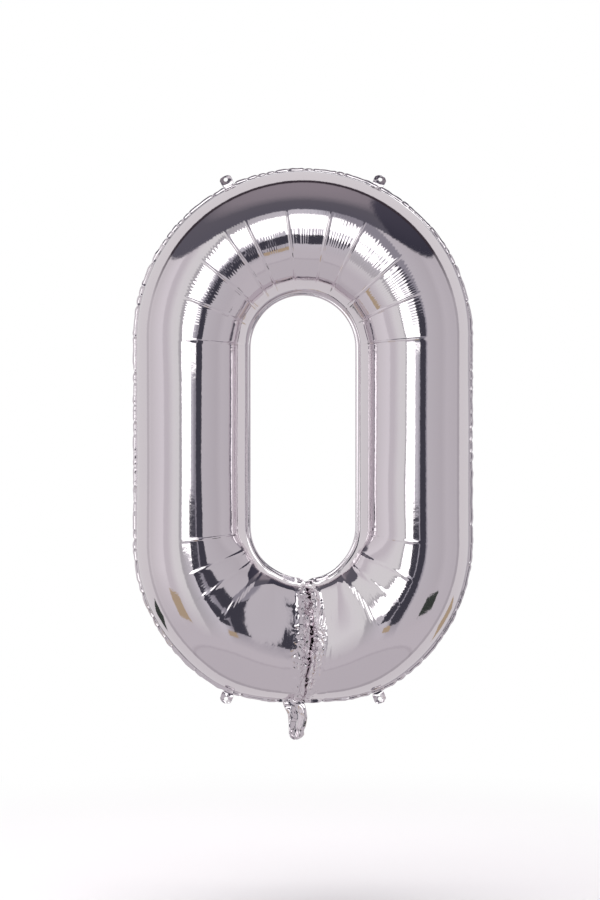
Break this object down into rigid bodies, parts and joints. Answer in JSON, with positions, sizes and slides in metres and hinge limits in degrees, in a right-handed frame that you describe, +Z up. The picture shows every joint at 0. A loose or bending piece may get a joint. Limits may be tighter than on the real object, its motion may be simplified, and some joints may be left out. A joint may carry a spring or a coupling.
{
  "type": "foil number balloon",
  "caption": "Inflated foil balloon in the shape of the numeral 0, with hanging tabs on its seam, a fold-away filling tail and a self-sealing valve inside.",
  "frame": {"origin": "midway between the holes of the two top hanging tabs, in the plane of the seam", "axes": "+Z up the numeral as it hangs, +X to the right seen from the front, -Y out of the front face"},
  "size_m": [0.548, 0.181, 0.9208],
  "materials": {
    "foil": "polished",
    "valve_film": "satin"
  },
  "bodies": {
    "envelope": {"front_foil_panel": "foil", "rear_foil_panel": "foil", "valve_front_film": "valve_film"},
    "valve_flap": {"valve_rear_film": "valve_film"},
    "tail": {"tail_front_film": "foil", "tail_rear_film": "foil"},
    "tab_top_left": {"hanging_tab_top_left": "foil"},
    "tab_top_right": {"hanging_tab_top_right": "foil"},
    "tab_bottom_left": {"hanging_tab_bottom_left": "foil"},
    "tab_bottom_right": {"hanging_tab_bottom_right": "foil"}
  },
  "joints": [
    {"name": "valve_parting", "type": "slide", "parent": "envelope", "child": "valve_flap", "axis": [0, 1, 0], "range_m": [0, 0.005], "stiffness_N_per_m": 1},
    {"name": "tail_fold", "type": "hinge", "parent": "envelope", "child": "tail", "pos_m": [-0.016, 0, -0.8446], "axis": [1, 0, 0], "range_deg": [-90, 90], "stiffness_Nm_per_rad": 0.0003},
    {"name": "tab_top_left_fold", "type": "hinge", "parent": "envelope", "child": "tab_top_left", "pos_m": [-0.12047, 0, -0.00881], "axis": [0.8988, 0, 0.4384], "range_deg": [-80, 80], "stiffness_Nm_per_rad": 0.0005},
    {"name": "tab_top_right_fold", "type": "hinge", "parent": "envelope", "child": "tab_top_right", "pos_m": [0.12047, 0, -0.00881], "axis": [0.8988, 0, -0.4384], "range_deg": [-80, 80], "stiffness_Nm_per_rad": 0.0005},
    {"name": "tab_bottom_left_fold", "type": "hinge", "parent": "envelope", "child": "tab_bottom_left", "pos_m": [-0.1204, 0, -0.8278], "axis": [-0.9318, 0, 0.363], "range_deg": [-80, 80], "stiffness_Nm_per_rad": 0.0005},
    {"name": "tab_bottom_right_fold", "type": "hinge", "parent": "envelope", "child": "tab_bottom_right", "pos_m": [0.1204, 0, -0.8278], "axis": [-0.9318, 0, -0.363], "range_deg": [-80, 80], "stiffness_Nm_per_rad": 0.0005}
  ]
}
